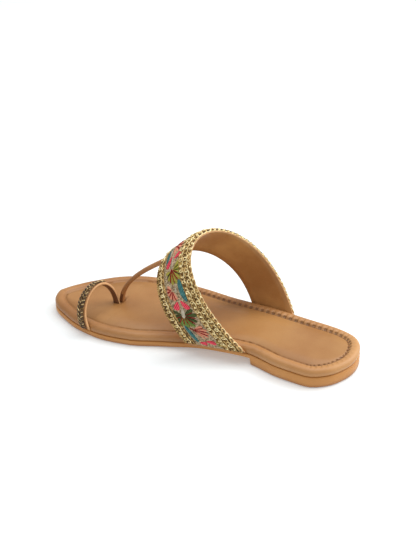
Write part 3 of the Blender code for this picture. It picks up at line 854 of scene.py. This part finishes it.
def make_braid(name, span, loops, twists, node):
    """A gold braid on a dark ground: rows of looped cord in a brighter copy of the gold with
    painted highlight, over twisted pairs in a darker copy with painted shade.

    loops holds the share across and the phase of each row, and twists the share across, the
    reach to each side and the phase of each pair.
    """
    start = -TRIM_PAST_FOOT
    end = band.length + TRIM_PAST_FOOT
    strip(band, start, end, span, BRAID_BASE_TOP, BRAID_BASE_THICKNESS, name + "_ground",
          BRAID_GROUND)
    inset = 0.0020
    looped = [
        looped_line(band, start + inset, end - inset, across, phase) for across, phase in loops
    ]
    twisted = [
        twisted_line(band, start, end, across, reach, phase + turn)
        for across, reach, phase in twists for turn in (0.0, math.pi)
    ]
    cords(name, looped, CORD_RADIUS, LIT_GOLD_CORD, [node])
    cords(name + "_twist", twisted, CORD_RADIUS, SHADED_GOLD_STRAND)


def make_edge_loops():
    """Loops of gold cord standing along the band's rear edge, over the corner of the leather."""
    steps = 12
    count = int(band.length / EDGE_PITCH)
    line = []
    for i in range(count * steps + 1):
        turn = 2.0 * math.pi * i / steps
        along = EDGE_PITCH * i / steps - 0.0012 * math.sin(turn)
        line.append(band.place(along, 0.002 + 0.014 * math.sin(turn + 0.6),
                               0.0004 + 0.0010 * math.cos(turn)))
    cords("braid_edge", [line], EDGE_CORD_RADIUS, LIT_GOLD_CORD)


def petal_form(root_width, blunt):
    """Unit petal along x, domed, with its root at -1. The widths are shares of its full width."""
    bm = bmesh.new()
    bmesh.ops.create_uvsphere(bm, u_segments=14, v_segments=8, radius=1.0)
    bmesh.ops.rotate(bm, verts=bm.verts, matrix=Matrix.Rotation(math.pi / 2.0, 3, "Y"))
    geometry = bm.verts[:] + bm.edges[:] + bm.faces[:]
    bmesh.ops.bisect_plane(bm, geom=geometry, plane_co=(0.0, 0.0, -0.05),
                           plane_no=(0.0, 0.0, 1.0), clear_inner=True)
    bmesh.ops.edgeloop_fill(bm, edges=[edge for edge in bm.edges if edge.is_boundary])
    for vert in bm.verts:
        toward_tip = (vert.co.x + 1.0) / 2.0
        vert.co.y *= root_width + (1.0 - root_width) * toward_tip
        if vert.co.x > 0.0:
            vert.co.x = vert.co.x ** blunt
    flat = bm.loops.layers.uv.new("thread")
    for face in bm.faces:
        for loop in face.loops:
            loop[flat].uv = (loop.vert.co.x, loop.vert.co.y)
    form = bpy.data.meshes.new("petal_form")
    bm.to_mesh(form)
    bm.free()
    return form


FORMS = {"drop": petal_form(0.22, 0.75), "leaf": petal_form(0.90, 1.0)}
SILKS = {
    # silk: finish, height over the ribbon in mm
    "coral": (CORAL_SILK, 0.75), "teal": (TEAL_SILK, 0.80), "olive": (OLIVE_SILK, 0.55),
    "green": (GREEN_SILK, 0.60), "moss": (MOSS_SILK, 0.62), "peach": (PEACH_SILK, 0.60),
    "crimson": (CRIMSON_SILK, 0.86), "cream": (CREAM_SILK, 0.90),
}


def sew(work, silk, form, root, tip, width):
    """One padded shape from root to tip, each given as mm along and share across."""
    bm = work.setdefault(silk, bmesh.new())
    before = len(bm.verts)
    bm.from_mesh(FORMS[form])
    bm.verts.ensure_lookup_table()
    root = (root[0], root[1] * PATTERN_WIDTH)
    tip = (tip[0], tip[1] * PATTERN_WIDTH)
    turn = math.atan2(tip[1] - root[1], tip[0] - root[0])
    middle = ((root[0] + tip[0]) / 2.0, (root[1] + tip[1]) / 2.0, 0.0)
    size = (math.dist(root, tip) / 2.0, width / 2.0, SILKS[silk][1], 1.0)
    matrix = (
        Matrix.Translation(middle) @ Matrix.Rotation(turn, 4, "Z") @ Matrix.Diagonal(size)
    )
    bmesh.ops.transform(bm, matrix=matrix, verts=bm.verts[before:])


def make_ribbon():
    """The ribbon's cloth, and the pattern sewn on it from one foot of the band to the other."""
    strip(band, -TRIM_PAST_FOOT, band.length + TRIM_PAST_FOOT, RIBBON, RIBBON_TOP,
          RIBBON_THICKNESS, "ribbon_ground", RIBBON_CLOTH, ["band_embroidery"])
    length = 1000.0 * band.length
    work = {}
    for i, (at, aside) in enumerate(PAIR_PLACES):
        for silk, form, root, tip, width in OLIVE_REPEAT if i % 2 else GREEN_REPEAT:
            if FOOT_MARGIN < at + root[0] < length - FOOT_MARGIN:
                end = min(max(at + tip[0], 0.4), length - 0.4)
                sew(work, silk, form, (at + root[0], root[1] + aside), (end, tip[1] + aside), width)
    for petal in FOOT_PETALS:
        sew(work, *petal)
    for silk, bm in work.items():
        for vert in bm.verts:
            x, y, z = vert.co
            vert.co = band.place(x / 1000.0, y / PATTERN_WIDTH, RIBBON_TOP + z / 1000.0)
        from_bmesh("embroidery_" + silk, bm, [SILKS[silk][0]])


def make_ring_braid():
    """Dark braid of the ring: two rows of slanted strands with gold thread between them."""
    strip(ring, -0.0004, ring.length * RING_BRAID_LENGTH, RING_BRAID, RING_BRAID_TOP, 0.0005,
          "ring_braid_ground", BRAID_GROUND, ["ring_braid"])
    share = width_share(ring)
    low, high = RING_BRAID
    strands = {
        # silk: share of a pitch ahead, half width, height
        "dark": (0.0, 0.00120, 0.00085),
        "gold": (0.5, 0.00040, 0.00100),
    }
    work = {tint: bmesh.new() for tint in strands}
    for i in range(int(ring.length * RING_BRAID_LENGTH / RING_PITCH)):
        for row, slant, half_step in ((0.29, 0.62, 0.5), (0.73, -0.62, 0.0)):
            across = low + (high - low) * row
            turned = Matrix.Rotation(math.pi / 2.0 + slant, 4, "Z")
            for tint, (ahead, width, height) in strands.items():
                bm = work[tint]
                before = len(bm.verts)
                bm.from_mesh(FORMS["leaf"])
                bm.verts.ensure_lookup_table()
                strand = turned @ Matrix.Diagonal((RING_STRAND, width, height, 1.0))
                along = 0.0006 + RING_PITCH * (i + ahead + half_step)
                for vert in bm.verts[before:]:
                    flat = strand @ vert.co
                    vert.co = ring.place(along + flat.x, across + flat.y * share(along),
                                         RING_BRAID_TOP + flat.z)
    from_bmesh("ring_braid_dark", work["dark"], [DARK_CORD])
    from_bmesh("ring_braid_gold", work["gold"], [RING_GOLD])


make_outsole()
make_footbed()
make_seam()
make_upper()
make_braid("braid_rear", REAR_BRAID, ((0.098, 0.0), (0.234, 0.9)),
           ((0.030, 0.00055, 0.0), (0.098, 0.00070, 0.8), (0.166, 0.00055, 1.3),
            (0.234, 0.00070, 2.1), (0.292, 0.00035, 0.5)), "band_braid_rear")
make_braid("braid_front", FRONT_BRAID, ((0.872, 0.4),),
           ((0.797, 0.00055, 0.2), (0.872, 0.00075, 1.1), (0.955, 0.00080, 0.9)),
           "band_braid_front")
make_edge_loops()
make_ribbon()
make_ring_braid()
for form in FORMS.values():
    bpy.data.meshes.remove(form)


# Studio

def make_floor():
    bm = bmesh.new()
    bmesh.ops.create_grid(bm, x_segments=1, y_segments=1, size=4.0)
    mesh = bpy.data.meshes.new("floor")
    bm.to_mesh(mesh)
    bm.free()
    finish = Finish("floor_white", 0.9, Emission_Strength=0.24)
    finish.put("Base Color", (0.77, 0.81, 0.82, 1.0))
    finish.put("Emission Color", (1.0, 1.0, 1.0, 1.0))
    mesh.materials.append(finish.material)
    floor = bpy.data.objects.new("floor", mesh)
    floor.location.z = -0.0002
    bpy.context.scene.collection.objects.link(floor)


def make_light(name, place, target, size, power):
    lamp = bpy.data.lights.new(name, "AREA")
    lamp.size = size
    lamp.energy = power
    holder = bpy.data.objects.new(name, lamp)
    holder.location = place
    holder.rotation_euler = (Vector(target) - Vector(place)).to_track_quat("-Z", "Y").to_euler()
    bpy.context.scene.collection.objects.link(holder)


def make_studio():
    make_floor()
    world = bpy.data.worlds.new("studio")
    world.use_nodes = True
    world.node_tree.nodes["Background"].inputs["Color"].default_value = (1.0, 1.0, 1.0, 1.0)
    world.node_tree.nodes["Background"].inputs["Strength"].default_value = 0.50
    bpy.context.scene.world = world
    bpy.context.scene.view_settings.view_transform = "Standard"
    middle = (0.0, 0.09, 0.02)
    make_light("overhead", (0.20, 0.05, 1.30), middle, 1.2, 10.5)
    make_light("window", (0.65, -0.70, 0.75), middle, 0.9, 9.0)


def make_camera():
    """Camera at the photograph's angle: azimuth, height and a slight roll, with a small shift."""
    azimuth = math.radians(-64.08)
    elevation = math.radians(33.80)
    roll = math.radians(-0.673)
    distance = 0.909
    target = Vector((0.003, 0.094, 0.020))
    back = Vector((
        math.sin(azimuth) * math.cos(elevation),
        -math.cos(azimuth) * math.cos(elevation),
        math.sin(elevation),
    ))
    right = (-back).cross(Vector((0.0, 0.0, 1.0))).normalized()
    up = right.cross(-back)
    turned_right = right * math.cos(roll) + up * math.sin(roll)
    turned_up = up * math.cos(roll) - right * math.sin(roll)
    lens = bpy.data.cameras.new("camera")
    lens.sensor_width = 36.0
    lens.lens = 75.95
    lens.shift_x = 0.0056
    lens.shift_y = 0.0578
    lens.clip_start = 0.05
    lens.clip_end = 20.0
    camera = bpy.data.objects.new("camera", lens)
    turn = Matrix((turned_right, turned_up, back)).transposed().to_4x4()
    camera.matrix_world = Matrix.Translation(target + back * distance) @ turn
    bpy.context.scene.collection.objects.link(camera)
    bpy.context.scene.camera = camera


make_studio()
make_camera()
